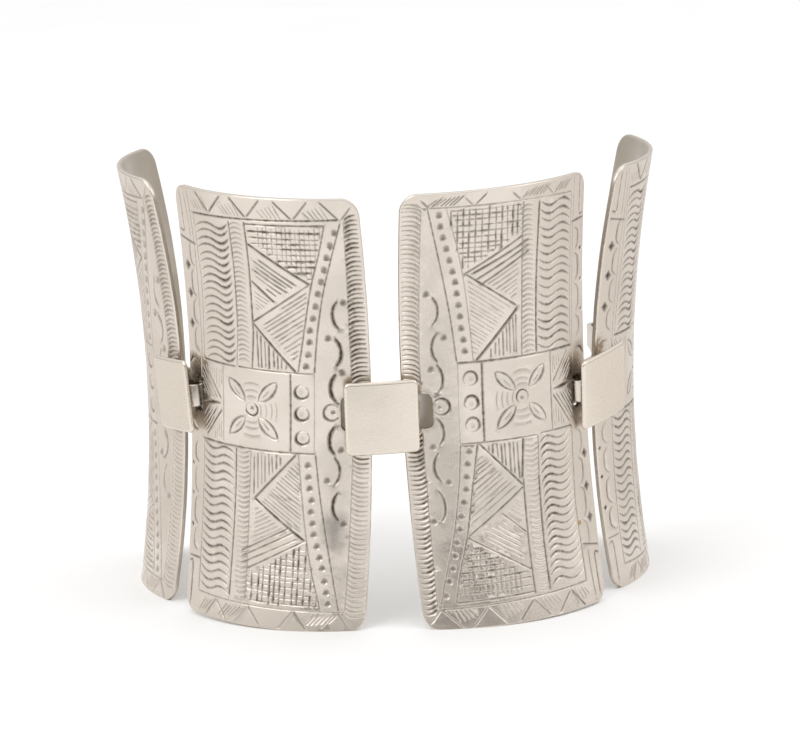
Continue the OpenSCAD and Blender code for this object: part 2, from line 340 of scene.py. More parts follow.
# %% Ruled lines and the borders
def frame_lines(e):
    """Each line has its points, and the width and depth that its graver cuts."""
    bold, thin = (0.52, 0.13), (0.4, 0.085)
    for line, cutter in [
        ([(-13.6, 33.1), (-5, 33.3), (3, 33.5), (15.4, 33.9)], bold),
        ([(-1.5, 32.6), (12.8, 32.9)], bold),
        ([(-14.8, -33.5), (-3, -33.8), (15.2, -34.1)], thin),
        ([(-13.3, 7.2), (-5.6, 7.1)], (0.6, 0.15)), ([(-4.9, 7.2), (9.3, 6.9)], bold),
        ([(-14.2, -6.7), (9.2, -7)], (0.6, 0.13)),
        ([(-14.8, 36.8), (-14.1, 30), (-13.9, 20), (-14, 10), (-14.4, 0), (-15, -14),
          (-15.5, -33), (-15.7, -36.8)], thin),
        ([(-13.4, 33), (-13.1, 26), (-12.7, 20), (-13.2, 10), (-13.4, 7.2)], thin),
        ([(-14, -7), (-14.4, -20), (-14.8, -33.4)], thin),
        ([(-4.7, 32.8), (-4.4, 24), (-4.5, 14)], bold), ([(-4.6, 14), (-5, 7.3)], thin),
        ([(-1.6, 33), (-1.3, 25), (-1.3, 14)], bold), ([(-1.3, 14), (-1.8, 7.3)], bold),
        ([(-5.6, -7), (-5.9, -18), (-6.7, -33)], bold),
        ([(-2.5, -7.1), (-2.8, -15), (-3.1, -28), (-3.3, -33.4)], thin),
        ([(12.8, 32.9), (11.6, 28.5), (9.6, 22), (8.1, 15), (6.6, 7.2)], bold),
        ([(15.5, 33.2), (13.4, 27), (11.6, 21), (10.2, 14), (9.4, 7.1)], bold),
        ([(6.4, -7), (6.9, -13), (7.7, -20), (8.9, -26.5), (10.9, -33.6)], thin),
        ([(9.3, -7.1), (10.1, -14), (11.3, -21), (12.9, -28.5), (14.2, -34)], bold),
        ([(5.2, 7), (5.1, 0), (5, -6.8)], (0.64, 0.15)), ([(9.4, 7), (9.1, -7)], thin),
        ([(-8.3, 7), (-8.6, -6.6)], thin),
        ([(16.1, 33.6), (15.9, 28), (15.6, 14), (15.7, 3.4)], thin),
        ([(15.6, -3.6), (15.3, -20), (15.1, -34)], thin),
        ([(-18.4, 28.4), (-13.5, 27.4)], bold), ([(-18.4, -28.2), (-14.9, -28)], bold),
        ([(-18.2, 29.7), (-16.9, 29.5), (-17, 32), (-17.3, 36)], bold),
        ([(-18.3, -29.1), (-17.3, -29.1), (-17.2, -32), (-17.3, -36)], bold),
        ([(-15.8, 36.4), (-15.1, 31), (-15, 28.3)], thin),
    ]:
        e.cut(line, *cutter, wild=0.15)


def zigzag_borders(e):
    for x in (-9.2, -1.1, 7.4, 15.5):
        e.cut([(x - 3.1, 37), (x - 0.15, 33.9)], 0.54, 0.12)
        e.cut([(x + 0.2, 33.9), (x + 2.8, 37)], 0.58, 0.12)
    for x in (-13.2, -6.2, 1.7, 10):
        for i in range(5):
            e.cut([(x + 0.75 * i - 0.6, 35.3 + 0.25 * i), (x + 0.75 * i + 0.7, 33.9)], 0.36, 0.06)
    for x in (-9.8, -2.6, 6.1, 13.7):
        e.cut([(x - 0.2, -34.1), (x - 2.5, -37)], 0.46, 0.08)
        e.cut([(x + 0.1, -34.1), (x + 2.4, -37)], 0.52, 0.1)
    for x, n in ((-13.4, 4), (-8.2, 6), (8.7, 7)):
        for i in range(n):
            e.cut([(x + 0.75 * i - 0.8, -36.6 + 0.1 * i), (x + 0.75 * i + 1, -34.4)], 0.36, 0.07)


print("ruled lines and borders:", tried(frame_lines, zigzag_borders))


# %% Dots, scallops, C marks and the comb
def punched_rows(e):
    """Two leaning rows of dots, at even steps of height."""
    upper = np.array([(14.4, 31.7), (12.8, 27.6), (11.5, 23.4), (10.3, 19.1), (9.2, 14.9),
                      (8.1, 8.3)])
    lower = np.array([(7.9, -9.0), (8.4, -13.3), (8.7, -17), (9.3, -21.2), (10.4, -25.2),
                      (11.4, -29), (12.1, -32.6)])
    for row, n in ((upper, 12), (lower, 13)):
        z = np.linspace(row[0, 1], row[-1, 1], n)
        x = np.interp(-z, -row[:, 1], row[:, 0])
        for px, pz in zip(x, z):
            e.punch(px, pz, 0.72, depth=0.17, held=0.68)


def scallops(e):
    """Arcs given by their side, top and foot, a diamond between two arcs, and two hooks."""
    for x, top, low in ((-15.6, 28, 23.2), (-15.7, 22.9, 17.8), (-15.8, 17.5, 12.9),
                        (-16, 12.4, 8), (-17, -7.8, -11.7), (-17, -12.1, -17),
                        (-17, -17.5, -22.3), (-17, -22.7, -27)):
        e.cut([(x + 1, top), (x + 0.1, top - 0.9), (x - 0.1, (top + low) / 2),
               (x + 0.1, low + 0.9), (x + 1.2, low + 0.1)], 0.72, 0.12, [0.4, 0.8, 1, 0.9, 0.5])
    for x, z in ((-16.8, 23.3), (-16.7, 18.2), (-16.9, 12.8), (-18, -12.2), (-18, -17.3),
                 (-17.9, -22.8)):
        e.punch(x, z, 1.15, depth=0.18, corners=1.2, held=0.9)
    for z, way in ((5.4, 1), (-4.6, -1)):
        e.cut([(-18.3, z), (-17.4, z + 1.1 * way), (-16.2, z + 1.3 * way)], 0.8, 0.14,
              [0.4, 1, 0.7])


def c_marks(e):
    """Each has its middle, the way it bulges, half its height, and the place of its dot."""
    for x, z, way, h, dot_x, dot_z in (
            (13.5, 17.2, -1, 2.5, 14.9, 19.5), (13.5, 10.7, 1, 2.5, 12, 13.2),
            (12.7, 4.6, -1, 2.4, 14.1, 7.2), (12.3, -4.6, -1, 2.5, 13.75, -6.2),
            (12.9, -9.9, 1, 2.5, 11.3, -11.5), (12.9, -16, -1, 2.4, 14.25, -18.95)):
        e.cut([(x - 0.35 * way, z + h), (x + 0.35 * way, z + h * 0.55), (x + 0.6 * way, z),
               (x + 0.35 * way, z - h * 0.55), (x - 0.35 * way, z - h)], 1.0, 0.26,
              [0.75, 0.95, 1, 0.95, 0.75], wild=0.06, held=0.7)
        e.punch(dot_x, dot_z, 0.76, depth=0.2, held=0.6)


def comb(e):
    """Strokes that start deep and fade out towards the side edge."""
    for z in between(34.4, 4.6, 38):
        left = np.interp(z, [5, 14, 28, 34], [15.8, 15.6, 15.9, 16.3])
        e.cut([(left, z - 0.45), (left + 0.7, z), (left + 1.6, z + 0.2), (18.7, z + 0.1)],
              0.74, 0.21, [1, 1, 0.7, 0.35], wild=0.1, held=0.78)
    for z in between(-4.3, -34.6, 38):
        left = np.interp(z, [-34, -5], [15.1, 15.6])
        e.cut([(left, z + 0.45), (left + 0.8, z - 0.15), (left + 1.8, z - 0.4),
               (18.7, z - 0.35)], 0.6, 0.17, [0.8, 1, 0.8, 0.45], wild=0.1, held=0.42)


print("dots, scallops, C marks and comb:", tried(punched_rows, scallops, c_marks, comb))

# %% [markdown]
# ## Flower band
# The band round the middle holds a square with a four-petalled flower, a strip of ring
# punches, and next to the slot two shaded triangles that meet at a short bold line.


# %% Flower, rings and shaded triangles
def ring(e, x, z, r, width, swell, start=0.0):
    """A ring that is deeper on one side, as a tilted punch leaves it."""
    turn = np.linspace(0, 2 * math.pi * 0.98, 17) + math.radians(start)
    e.cut([(x + r * math.cos(a), z + r * math.sin(a)) for a in turn], width, 0.18, swell,
          shake=0.02)


def flower(e):
    """Four petals with a vein, a ringed middle, arcs between the petals, and the rings."""
    cx, cz = -2.2, 0.1
    for turn, near, far in ((45, 1.9, 7.0), (135, 1.9, 6.8), (225, 2, 6.9), (315, 1.8, 6.9)):
        a = math.radians(turn)
        d, n = np.array([math.cos(a), math.sin(a)]), np.array([-math.sin(a), math.cos(a)])
        for side, width in ((1, 0.56), (-1, 0.72)):
            e.cut([np.array([cx, cz]) + d * (near + (far - near) * s) + n * side * w
                   for s, w in ((0, 0.05), (0.2, 0.65), (0.5, 0.92), (0.8, 0.65), (1, 0.05))],
                  width, 0.14, [0.5, 0.8, 1, 0.9, 0.7], shake=0.03, wild=0.12)
        e.cut([np.array([cx, cz]) + d * (near + (far - near) * s) for s in (0.25, 0.6)],
              0.34, 0.06)
    ring(e, cx, cz, 1.15, 0.56, [0.2, 0.2, 0.6, 1, 1, 0.8, 0.3], start=80)
    e.punch(cx + 0.05, cz + 0.2, 0.45, depth=0.1)
    for turn, rows in ((90, (2.3, 3.4, 4.6)), (0, (1.9, 2.9, 3.9, 4.9)), (270, (2.3, 3.4, 4.7))):
        for r in rows:
            half = math.radians(12 + 40 / r)
            a = math.radians(turn)
            e.cut([(cx + r * math.cos(a + half * s), cz + r * math.sin(a + half * s))
                   for s in (-1, -0.5, 0, 0.5, 1)], 0.42, 0.07, [0.5, 0.9, 1, 0.9, 0.5])
    for z in (3.8, 0.0, -4.2):
        ring(e, 7.1, z, 1.2, 0.78, [0.15, 0.5, 1, 1, 0.9, 0.5, 0.2], start=60)
        e.punch(7.1, z, 0.6, depth=0.03, flat=0.1)
    ring(e, 12.2, 0.3, 1.4, 0.85, [0.3, 0.8, 1, 1, 0.8, 0.3], start=30)
    e.punch(12.5, 0.3, 0.5, depth=0.15, held=0.7)


def shaded_triangles(e):
    e.cut([(-14, -0.6), (-11.5, -0.15), (-9.1, 0.05)], 0.95, 0.2, [0.3, 1, 0.4])
    e.cut([(-12.9, 6.3), (-9, 0.9)], 0.44, 0.1)
    e.cut([(-9, -1.1), (-13, -6)], 0.5, 0.12)
    hatch(e, [(-14.1, 6.4), (-14.1, 0.4), (-9.6, 0.6), (-12.9, 5.9)], (3.9, -5.4), 0.66, 0.4,
          0.09)
    hatch(e, [(-14.1, -0.9), (-13.8, -5.8), (-12.9, -5.7), (-9.6, -0.8)], (3.9, 4.6), 0.66,
          0.4, 0.09)
    hatch(e, [(-12.4, 6.6), (-9, 1.6), (-8.5, 6.6)], (0, 1), 0.56, 0.3, 0.06)
    hatch(e, [(-12.4, -6.4), (-8.7, -6.4), (-8.9, -2)], (0, 1), 0.56, 0.3, 0.06)


STEPS = (wave_rows, crescent_rows, triangle_zone, crossed_corners, frame_lines, zigzag_borders,
         punched_rows, scallops, c_marks, comb, flower, shaded_triangles)


def engrave(seed, drift):
    e = Engraving(seed, drift)
    for work in STEPS:
        work(e)
    return e


print("marks on a panel:", tried(*STEPS))

# %% [markdown]
# ## From marks to metal
# A flat sheet could be displaced by a height picture, but fine grooves would then need
# millions of faces. Here every groove's centre line and two rims become edges of the mesh
# itself: Delaunay triangulation accepts edges that must be kept, and finds where they
# cross. The metal between the marks needs only a loose net of points for the bend.


# %% Edges of the marks
def usable(line, slots):
    """The longest run of a mark's points that lies on the metal."""
    ok = depth_in(line, 2 * HALF_FLAT, PANEL_H, CORNER_R) > EDGE_MARGIN
    for centre, w in slots:
        ok &= depth_in(line, w, SLOT_H, SLOT_R, centre) < -SLOT_MARGIN
    best, start = (0, 0), None
    for i, good in enumerate(list(ok) + [False]):
        if good and start is None:
            start = i
        if not good and start is not None:
            best = max(best, (i - start, start))
            start = None
    return slice(best[1], best[1] + best[0])


def mark_edges(e, slots):
    """Points and edges of every mark, and the sloping segments that give depth."""
    points, edges, slopes = [], [], []
    # A groove is its centre line and two rims, which meet at both ends
    for line, half, depth, held in e.cuts:
        keep = usable(line, slots)
        line, half, depth = line[keep], half[keep].copy(), depth[keep].copy()
        if len(line) < 3:
            continue
        half[0] = half[-1] = 0
        depth[0] = depth[-1] = 0
        way = np.gradient(line, axis=0)
        way /= np.maximum(np.linalg.norm(way, axis=1), 1e-9)[:, None]
        side = np.stack([-way[:, 1], way[:, 0]], 1) * half[:, None]
        n, m = len(line), len(points)
        points += list(line) + list((line + side)[1:-1]) + list((line - side)[1:-1])
        edges += [(m + i, m + i + 1) for i in range(n - 1)]
        for first in (m + n, m + 2 * n - 2):
            chain = [m] + list(range(first, first + n - 2)) + [m + n - 1]
            edges += list(zip(chain, chain[1:]))
        slopes += [(line[i], line[i + 1], half[i], half[i + 1], depth[i], depth[i + 1], held)
                   for i in range(n - 1)]
    # A bowl is three rings and a middle
    for x, z, r, _, corners, flat, _ in e.punches:
        n = 4 if corners < 1.5 else 12
        m = len(points)
        for share in (1.0, 0.7, flat):
            for i in range(n):
                a = 2 * math.pi * i / n
                points.append((x + r * share * math.cos(a), z + r * share * math.sin(a)))
        points.append((x, z))
        for k in (0, n, 2 * n):
            edges += [(m + k + i, m + k + (i + 1) % n) for i in range(n)]
    return points, edges, slopes


print("edges of all the marks:", len(mark_edges(engrave(1, AS_DRAWN), SLOTS)[1]))


# %% Depth of the marks
def depth_at(points, e, slopes):
    """Depth of the engraving and of its tarnish at each point: the deepest mark wins."""
    order = np.argsort(points[:, 1])
    z = points[order, 1]
    deep, stain = np.zeros(len(points)), np.zeros(len(points))
    for a, b, ha, hb, da, db, held in slopes:
        h = max(ha, hb)
        i, j = np.searchsorted(z, [min(a[1], b[1]) - h, max(a[1], b[1]) + h])
        near = order[i:j]
        p = points[near]
        inside = (p[:, 0] > min(a[0], b[0]) - h) & (p[:, 0] < max(a[0], b[0]) + h)
        near, p = near[inside], p[inside]
        if not len(near):
            continue
        d = b - a
        t = np.clip((p - a) @ d / max(d @ d, 1e-12), 0, 1)
        off = np.linalg.norm(p - a - t[:, None] * d, axis=1)
        half, depth = ha + (hb - ha) * t, da + (db - da) * t
        groove = depth * (1 - off / np.maximum(half, 1e-6))
        deep[near] = np.maximum(deep[near], groove)
        stain[near] = np.maximum(stain[near], groove * held)
    for x, zc, r, depth, corners, flat, held in e.punches:
        i, j = np.searchsorted(z, [zc - r, zc + r])
        near = order[i:j]
        q = np.abs(points[near] - (x, zc)) / r
        out = (q ** corners).sum(1) ** (1 / corners)
        bowl = depth * np.clip((1 - out ** 2) / (1 - flat ** 2), 0, 1)
        deep[near] = np.maximum(deep[near], bowl)
        stain[near] = np.maximum(stain[near], bowl * held)
    return deep, stain


middle = Engraving(1)
middle.punch(0, 0, 1, depth=0.2)
print("depth at the middle of a punch:", depth_at(np.zeros((1, 2)), middle, [])[0], "mm")

# %% [markdown]
# ## A sheet with soft rims
# One function makes every sheet piece, engraved or plain. It triangulates the front with
# its marks, copies the outline rings down the rounded rim to the back, and closes the back
# with a plain net. Three attributes go with it for the metal's material: how much tarnish
# each point has from its groove, how much grime and painted shade from the slot near it, and
# whether it is on the back. Polishing reaches neither grooves nor slots nor the back, and round a
# slot the colour also carries painted shade: the shadow of the link's plate and strap, and the
# shade down the slot's walls.

# %% Nets and fillings
# Rings down a rounded rim, as depth and inset; 1 is the rim's radius
RIM = [(0.0, 1.0), (0.3, 0.42), (0.62, 0.12), (1.0, 0.0)]
# Net points in the same cell as a mark's point are left out; the cells are this wide, in mm
CELL = 0.35


def net(width, height, spacing, r, keep_off, slots):
    """A loose triangular net of points inside an outline and outside its slots."""
    rows = np.arange(-height / 2 + spacing * 0.6, height / 2, spacing * 0.87)
    pts = [(x + (i % 2) * spacing / 2, z) for i, z in enumerate(rows)
           for x in np.arange(-width / 2, width / 2, spacing)]
    pts = np.array(pts)
    ok = depth_in(pts, width, height, r) > keep_off
    for centre, w in slots:
        ok &= depth_in(pts, w, SLOT_H, SLOT_R, centre) < -keep_off
    return pts[ok]


def fill(loops, points, edges, inside):
    """Triangulates between loops, keeping every given edge. Returns the points, the triangles
    and the numbers of each loop's points."""
    verts, lines, m = [Vector(p) for p in points], list(edges), len(points)
    for loop in loops:
        verts += [Vector(p) for p in loop]
        lines += [(m + i, m + (i + 1) % len(loop)) for i in range(len(loop))]
        m += len(loop)
    out, _, faces, source, _, _ = delaunay_2d_cdt(verts, lines, [], 0, 1e-5)
    out = np.array([tuple(v) for v in out])
    faces = np.array(faces)
    faces = faces[inside(out[faces].mean(axis=1))]
    where = {}
    for i, origin in enumerate(source):
        for o in origin:
            where[o] = i
    first = len(points)
    rings = []
    for loop in loops:
        rings.append([where[first + i] for i in range(len(loop))])
        first += len(loop)
    return out, faces, rings


print("plain net of 10 by 10 mm:", len(net(10, 10, 1.1, 1, 0.4, ())), "points")


# %% Grime and walls
def slot_grime_and_shade(centre):
    """Grime and painted shade at a slot's rim, and how far they spread in mm. The plain edge's
    slot gets more, spread wider: real grime and the painted shadow of its link's plate.
    """
    return (1.0, 0.9) if centre[0] < 0 else (0.9, 0.2)


def grime_and_shade_at(points, slots):
    """Grime and painted shade at each point: most at the rim of a slot, and fading away from it.
    """
    grime_and_shade = np.zeros(len(points))
    for centre, w in slots:
        level, reach = slot_grime_and_shade(centre)
        away = np.maximum(0, -depth_in(points, w, SLOT_H, SLOT_R, centre))
        grime_and_shade = np.maximum(grime_and_shade, level * np.exp(-away / reach))
    return grime_and_shade


def walls(a, b, hole):
    """Triangles between two rings with the same number of points."""
    out = []
    for i in range(len(a)):
        j = (i + 1) % len(a)
        quad = [(a[i], b[i], b[j]), (a[i], b[j], a[j])]
        out += [t[::-1] for t in quad] if hole else quad
    return out


print("grime at the slots' rims:", [slot_grime_and_shade(at)[0] for at, _ in SLOTS])


# %% A sheet in the making
class Sheet:
    """A sheet's points and triangles while it is made, with three values at every point."""

    def __init__(self):
        self.verts, self.tris = [], []
        self.values = {"groove": [], "grime_and_shade": [], "inner": []}

    def points(self, flat, y, groove, grime_and_shade, inner):
        """Adds points at depth y and returns their numbers."""
        first, n = len(self.verts), len(flat)
        self.verts += [(x, d, z) for (x, z), d in zip(flat, np.broadcast_to(y, n))]
        for key, value in (("groove", groove), ("grime_and_shade", grime_and_shade), ("inner", inner)):
            self.values[key] += list(np.broadcast_to(value, n))
        return range(first, first + n)

    def mesh(self, name):
        """The sheet as a mesh in metres, with its values as attributes."""
        mesh = bpy.data.meshes.new(name)
        mesh.from_pydata([Vector(v) * MM for v in self.verts], [], self.tris)
        for key, values in self.values.items():
            mesh.attributes.new(key, "FLOAT", "POINT").data.foreach_set(
                "value", np.array(values, np.float32))
        mesh.validate()
        return mesh


print("at every point a sheet keeps:", ", ".join(Sheet().values))


# %% The whole sheet: front, back and rims
def flat_sheet(name, width, height, r, thickness, slots=(), marks=None, rim=0.3, step=0.6,
               spacing=1.1, back_spacing=2.2, tarnish=1.0):
    """A flat sheet lying in x and z, its front at y 0 and its back at y thickness, in mm."""
    loops = [lambda inset: rounded_outline(width, height, r, step, inset)]
    for centre, w in slots:
        loops.append(lambda inset, c=centre, w=w: rounded_outline(
            w, SLOT_H, SLOT_R, step, -inset) + c)
    rims = [rim] + [rim * 0.5] * len(slots)
    tops = [loop(s) for loop, s in zip(loops, rims)]
    keep_off = rim + (0.3 if marks else spacing * 0.4)
    sheet = Sheet()

    def inside(p):
        # Short of the rim's curve by a little, or slivers would bridge its facets
        ok = depth_in(p, width, height, r) > rim * 0.95
        for centre, w in slots:
            ok &= depth_in(p, w, SLOT_H, SLOT_R, centre) < -rim * 0.4
        return ok

    # The front is netted round its marks
    points, edges, slopes = mark_edges(marks, slots) if marks else ([], [], [])
    extra = net(width, height, spacing, r, keep_off, slots)
    if marks:
        taken = set(map(tuple, np.round(np.array(points) / CELL).astype(int)))
        extra = [p for p in extra if tuple(np.round(p / CELL).astype(int)) not in taken]
    else:
        extra = np.vstack([extra, loops[0](rim + 0.12)])
    points = [tuple(p) for p in (*points, *extra)]
    front, faces, rings = fill(tops, points, edges, inside)
    deep, stain = depth_at(front, marks, slopes) if marks else np.zeros((2, len(front)))
    sheet.points(front, deep, stain * tarnish, grime_and_shade_at(front, slots), 0.0)
    sheet.tris += [tuple(f) for f in faces]

    # The back faces the other way
    behind = net(width, height, back_spacing, r, keep_off, slots)
    back, faces, back_rings = fill(tops, [tuple(p) for p in behind], [], inside)
    number = sheet.points(back, thickness, 0.0, grime_and_shade_at(back, slots), 1.0)
    sheet.tris += [(number[a], number[c], number[b]) for a, b, c in faces]

    # The rims join them, ring by ring
    # A slot's walls get its grime and painted shade in full, which paints the shade down inside
    # the slot
    slot_grime_and_shade_levels = [0.0] + [slot_grime_and_shade(centre)[0] for centre, _ in slots]
    for loop, s, front_ring, back_ring, level in zip(loops, rims, rings, back_rings, slot_grime_and_shade_levels):
        steps = [(s * y, s * inset) for y, inset in RIM[1:]]
        steps += [(thickness - s * y, s * inset) for y, inset in RIM[:0:-1]]
        last = front_ring
        for y, inset in steps:
            ring_now = sheet.points(loop(inset), y, 0.0, level, float(y > thickness / 2))
            sheet.tris += walls(last, ring_now, level > 0)
            last = ring_now
        sheet.tris += walls(last, [number[i] for i in back_ring], level > 0)
    return sheet.mesh(name)


print("slots in a panel:", [(round(x, 2), z) for (x, z), _ in SLOTS], "mm")

# %% [markdown]
# ## Adding nodes
# Materials and Geometry Nodes trees are built by one small function. It adds a node, gives
# it its settings, and fills its inputs in order or by name: a number or colour is typed in,
# and a node or a socket is linked.


# %% One function that adds a node
def add(tree, kind, settings=None, *inputs, **named):
    """A new node; an underscore in an input's name stands for a space."""
    node = tree.nodes.new(kind)
    for key, value in (settings or {}).items():
        setattr(node, key, value)
    wanted = list(enumerate(inputs)) + [(k.replace("_", " "), v) for k, v in named.items()]
    for key, value in wanted:
        if isinstance(value, bpy.types.Node):
            value = value.outputs[0]
        if isinstance(value, bpy.types.NodeSocket):
            tree.links.new(value, node.inputs[key])
        elif value is not None:
            node.inputs[key].default_value = value
    return node


def tint(hex_colour):
    """An sRGB hex colour as linear RGBA."""
    c = [int(hex_colour[i:i + 2], 16) / 255 for i in (1, 3, 5)]
    return [v / 12.92 if v <= 0.04045 else ((v + 0.055) / 1.055) ** 2.4 for v in c] + [1.0]


print("mid grey in linear light:", [round(v, 3) for v in tint("#808080")])


# %% Short helpers for trees and objects
def maths(tree, **settings):
    """A function that adds Math nodes to a tree."""
    def calc(operation, *values):
        return add(tree, "ShaderNodeMath", {"operation": operation, **settings}, *values)
    return calc


def noise(tree, where, size, detail):
    """A noise texture with patches of about size mm."""
    return add(tree, "ShaderNodeTexNoise", None, Vector=where, Scale=1 / (size * MM),
               Detail=detail)


def fade(tree, value, start, end, high):
    """A soft step from high to 0 while value goes from start to end."""
    return add(tree, "ShaderNodeMapRange", {"interpolation_type": "SMOOTHSTEP"}, value, start,
               end, high, 0.0)


def new_tree(name, numbers, takes_mesh=True):
    """A Geometry Nodes tree with named number inputs and a metal, and its input sockets."""
    tree = bpy.data.node_groups.new(name, "GeometryNodeTree")
    kinds = [("Geometry", "Geometry")] * takes_mesh + [(n, "Float") for n in numbers]
    for label, kind in kinds + [("Metal", "Material")]:
        tree.interface.new_socket(label, in_out="INPUT", socket_type="NodeSocket" + kind)
    tree.interface.new_socket("Geometry", in_out="OUTPUT", socket_type="NodeSocketGeometry")
    return tree, tree.nodes.new("NodeGroupInput").outputs


def end_tree(tree, geometry, metal):
    """The last nodes of every tree: real geometry, and its metal."""
    real = add(tree, "GeometryNodeRealizeInstances", None, geometry)
    finished = add(tree, "GeometryNodeSetMaterial", None, real, Material=metal)
    add(tree, "NodeGroupOutput", None, finished)


def put(name, data):
    """A new object in the scene."""
    made = bpy.data.objects.new(name, data)
    bpy.context.scene.collection.objects.link(made)
    return made


print("helpers for trees and objects ready")

# %% [markdown]
# ## Bending to the wrist
# A smith bends the flat engraved sheet over a stake. Geometry Nodes do the same here,
# because one rule moves every point: round the wrist in plan, and flared in section. The side
# edges draw in a little towards the ends, so that the panel keeps its width. The same tree
# bows the small plates, with a flare radius so large that they stay straight upwards. An
# unevenness of about a tenth of a millimetre makes the reflections wander as they do on
# hand-worked sheet.


# %% Geometry Nodes tree that bends a sheet
def bending_tree():
    tree, inp = new_tree("Bend sheet to the wrist", (
        "Bend radius", "Flare radius", "Edge radius", "Half angle", "Unevenness",
        "Patch size", "Seed"))
    calc = maths(tree)
    radius, flare_radius = inp["Bend radius"], inp["Flare radius"]

    def sag(big_radius):
        reach = calc("SQRT", calc("SUBTRACT", calc("MULTIPLY", big_radius, big_radius), zz))
        return calc("DIVIDE", zz, calc("ADD", big_radius, reach))

    place = add(tree, "GeometryNodeInputPosition")
    x, y, z = add(tree, "ShaderNodeSeparateXYZ", None, place).outputs
    zz = calc("MULTIPLY", z, z)
    flat = add(tree, "ShaderNodeCombineXYZ", None, x, 0.0, z)
    patch = add(tree, "ShaderNodeTexNoise", {"noise_dimensions": "4D"}, Vector=flat,
                W=inp["Seed"], Scale=calc("DIVIDE", 1.0, inp["Patch size"]), Detail=1.0)
    deep = calc("ADD", y, calc("MULTIPLY", patch, inp["Unevenness"]))
    at_edge = calc("ARCSINE", calc("DIVIDE", sag(inp["Edge radius"]),
                                   calc("ADD", radius, sag(flare_radius))))
    share = calc("DIVIDE", x, calc("MULTIPLY", radius, inp["Half angle"]))
    turn = calc("MULTIPLY", share, calc("SUBTRACT", inp["Half angle"], at_edge))
    r = calc("ADD", calc("SUBTRACT", radius, deep), sag(calc("ADD", flare_radius, deep)))
    bent = add(tree, "ShaderNodeCombineXYZ", None, calc("MULTIPLY", r, calc("SINE", turn)),
               calc("SUBTRACT", radius, calc("MULTIPLY", r, calc("COSINE", turn))), z)
    moved = add(tree, "GeometryNodeSetPosition", None, inp["Geometry"], Position=bent)
    end_tree(tree, moved, inp["Metal"])
    return tree


def through_nodes(mesh, tree, **inputs):
    """The mesh as a Geometry Nodes tree leaves it, with the tree's inputs set by name."""
    work = put("work", mesh)
    step = work.modifiers.new("nodes", "NODES")
    step.node_group = tree
    for item in tree.interface.items_tree:
        if item.in_out == "INPUT" and item.name in inputs:
            step[item.identifier] = inputs[item.name]
    bpy.context.view_layer.update()
    seen = work.evaluated_get(bpy.context.evaluated_depsgraph_get())
    made = bpy.data.meshes.new_from_object(seen)
    work.modifiers.remove(step)
    bpy.data.objects.remove(work)
    return made


BENDING = bending_tree()
print("bending tree:", len(BENDING.nodes), "nodes")

# %% [markdown]
# ## Nickel silver
# The metal is nickel silver or a low silver alloy, rolled into sheet, engraved, rubbed with
# something dark and polished again. So its raised parts are pale and fairly smooth, with
# fine polishing scratches, and its grooves keep a brown-grey tarnish that hardly shines.
# The inside of the panels was never polished and is duller and darker. One material does all
# of it: the sheets carry how deep each point is engraved and which side it is on.


# %% Helpers for materials
def new_material(name):
    """An empty material and its tree."""
    m = bpy.data.materials.new(name)
    m.use_nodes = True
    m.node_tree.nodes.clear()
    return m, m.node_tree


def surface(t, **inputs):
    """Ends a material with one shader."""
    shader = add(t, "ShaderNodeBsdfPrincipled", None, **inputs)
    add(t, "ShaderNodeOutputMaterial", None, shader)


def blend_colours(t, factor, a, b):
    """A colour mix; a and b are hex colours or sockets."""
    mix = add(t, "ShaderNodeMix", {"data_type": "RGBA"}, factor)
    for socket, value in ((mix.inputs[6], a), (mix.inputs[7], b)):
        if isinstance(value, str):
            socket.default_value = tint(value)
        else:
            t.links.new(value, socket)
    return mix.outputs[2]


print("helpers for materials ready")


# %% Engraved metal
# Where a single stain and a painted grey reflection lie, in mm
LACQUER_SPOT = (31.47, -18.20, 14.54)
GREY_REFLECTION_SPOT = (-10.4, -28.4, 17.2)


